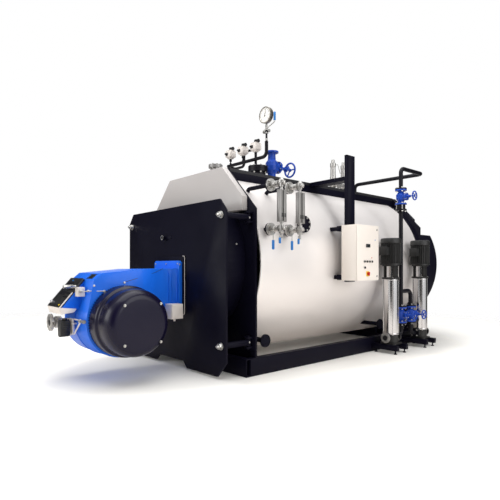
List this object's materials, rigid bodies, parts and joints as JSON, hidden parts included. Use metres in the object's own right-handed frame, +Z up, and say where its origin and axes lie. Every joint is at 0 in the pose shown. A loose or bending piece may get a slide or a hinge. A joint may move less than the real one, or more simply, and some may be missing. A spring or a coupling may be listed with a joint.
{
  "type": "industrial boiler",
  "caption": "Horizontal fire-tube steam boiler on a base frame, with a hinged front door and burner, steam and feed valves, level gauges, feed pumps and a control cabinet.",
  "frame": {"origin": "on the ground, on the boiler's centre plane, below the front face of the front plate", "axes": "+X to the right seen from the burner end looking at the door, +Y to the rear along the shell, +Z up"},
  "size_m": [2.6987, 6.055, 3.425],
  "materials": {
    "navy_paint": "semi-gloss dark navy enamel",
    "cladding_sheet": "pale satin metal sheet",
    "hood_paint": "light grey enamel",
    "black_paint": "black satin",
    "cabinet_paint": "off-white powder coat",
    "white_plastic": "off-white",
    "black_plastic": "black",
    "valve_blue": "blue enamel",
    "burner_blue": "bright blue gloss",
    "bare_steel": "satin",
    "cast_silver": "cast, satin"
  },
  "bodies": {
    "boiler": {"base_beams": "navy_paint", "base_cross_beams": "navy_paint", "cabinet_box": "cabinet_paint", "cabinet_rails": "navy_paint", "cable_duct": "navy_paint", "feed_pipe": "navy_paint", "feed_riser": "navy_paint", "feed_valve": "valve_blue", "flue_collar": "navy_paint", "front_hood": "hood_paint", "front_plate": "navy_paint", "furnace_tube": "bare_steel", "hinge_lugs": "navy_paint", "inspection_nozzle": "black_paint", "level_gauges": "cast_silver", "pressure_gauge": "bare_steel", "pressure_manifold": "navy_paint", "pressure_switches": "white_plastic", "pump_bases": "black_paint", "pump_motors": "black_paint", "pump_pipes": "navy_paint", "pump_skid": "navy_paint", "pump_sleeves": "bare_steel", "pump_valves": "valve_blue", "rear_end_ring": "navy_paint", "rear_hood": "navy_paint", "rear_plate": "navy_paint", "rear_smokebox": "navy_paint", "safety_valves": "cast_silver", "shell_cladding": "cladding_sheet", "shell_nozzles": "navy_paint", "steam_valve": "valve_blue", "top_platform": "navy_paint", "vent_nozzle": "cast_silver"},
    "front_door": {"door_cover": "navy_paint", "door_drum": "navy_paint", "door_arms": "navy_paint", "door_nuts": "bare_steel", "burner_plate": "navy_paint", "burner_housing": "burner_blue", "fan_cover": "navy_paint", "burner_console": "black_paint", "burner_boxes": "white_plastic", "gas_train": "cast_silver", "gas_actuator": "black_paint", "actuator_bracket": "white_plastic", "blast_tube": "bare_steel"},
    "cabinet_door": {"cabinet_door": "cabinet_paint", "cabinet_switches": "black_plastic"},
    "steam_handwheel": {"steam_handwheel": "valve_blue"},
    "feed_handwheel": {"feed_handwheel": "valve_blue"},
    "pump_handwheel_1": {"pump_handwheel_1": "valve_blue"},
    "pump_handwheel_2": {"pump_handwheel_2": "valve_blue"},
    "gauge_cock_lever": {"gauge_cock_lever": "valve_blue"},
    "level_gauge_lever_1": {"level_gauge_lever_1": "valve_blue"},
    "level_gauge_lever_2": {"level_gauge_lever_2": "valve_blue"}
  },
  "joints": [
    {"name": "front_door_hinge", "type": "hinge", "parent": "boiler", "child": "front_door", "pos_m": [1.007, -0.04, 0.366], "axis": [0, 0, 1], "range_deg": [0, 90]},
    {"name": "cabinet_door_hinge", "type": "hinge", "parent": "boiler", "child": "cabinet_door", "pos_m": [1.5, 1.788, 1.162], "axis": [0, 0, 1], "range_deg": [0, 110]},
    {"name": "steam_handwheel_turn", "type": "hinge", "parent": "boiler", "child": "steam_handwheel", "pos_m": [0, 1.705, 2.707], "axis": [0, 1, 0], "continuous": true},
    {"name": "feed_handwheel_turn", "type": "hinge", "parent": "boiler", "child": "feed_handwheel", "pos_m": [1.527, 2.68, 2.239], "axis": [1, 0, 0], "continuous": true},
    {"name": "pump_handwheel_1_turn", "type": "hinge", "parent": "boiler", "child": "pump_handwheel_1", "pos_m": [1.527, 2.68, 0.515], "axis": [1, 0, 0], "continuous": true},
    {"name": "pump_handwheel_2_turn", "type": "hinge", "parent": "boiler", "child": "pump_handwheel_2", "pos_m": [1.527, 2.951, 0.515], "axis": [1, 0, 0], "continuous": true},
    {"name": "gauge_cock_lever_turn", "type": "hinge", "parent": "boiler", "child": "gauge_cock_lever", "pos_m": [0.282, 0.8977, 3.089], "axis": [0, 1, 0], "range_deg": [0, 90]},
    {"name": "level_gauge_lever_1_turn", "type": "hinge", "parent": "boiler", "child": "level_gauge_lever_1", "pos_m": [1.284, 0.0837, 1.634], "axis": [0, -1, 0], "range_deg": [0, 90]},
    {"name": "level_gauge_lever_2_turn", "type": "hinge", "parent": "boiler", "child": "level_gauge_lever_2", "pos_m": [1.284, 0.3827, 1.634], "axis": [0, -1, 0], "range_deg": [0, 90]}
  ]
}
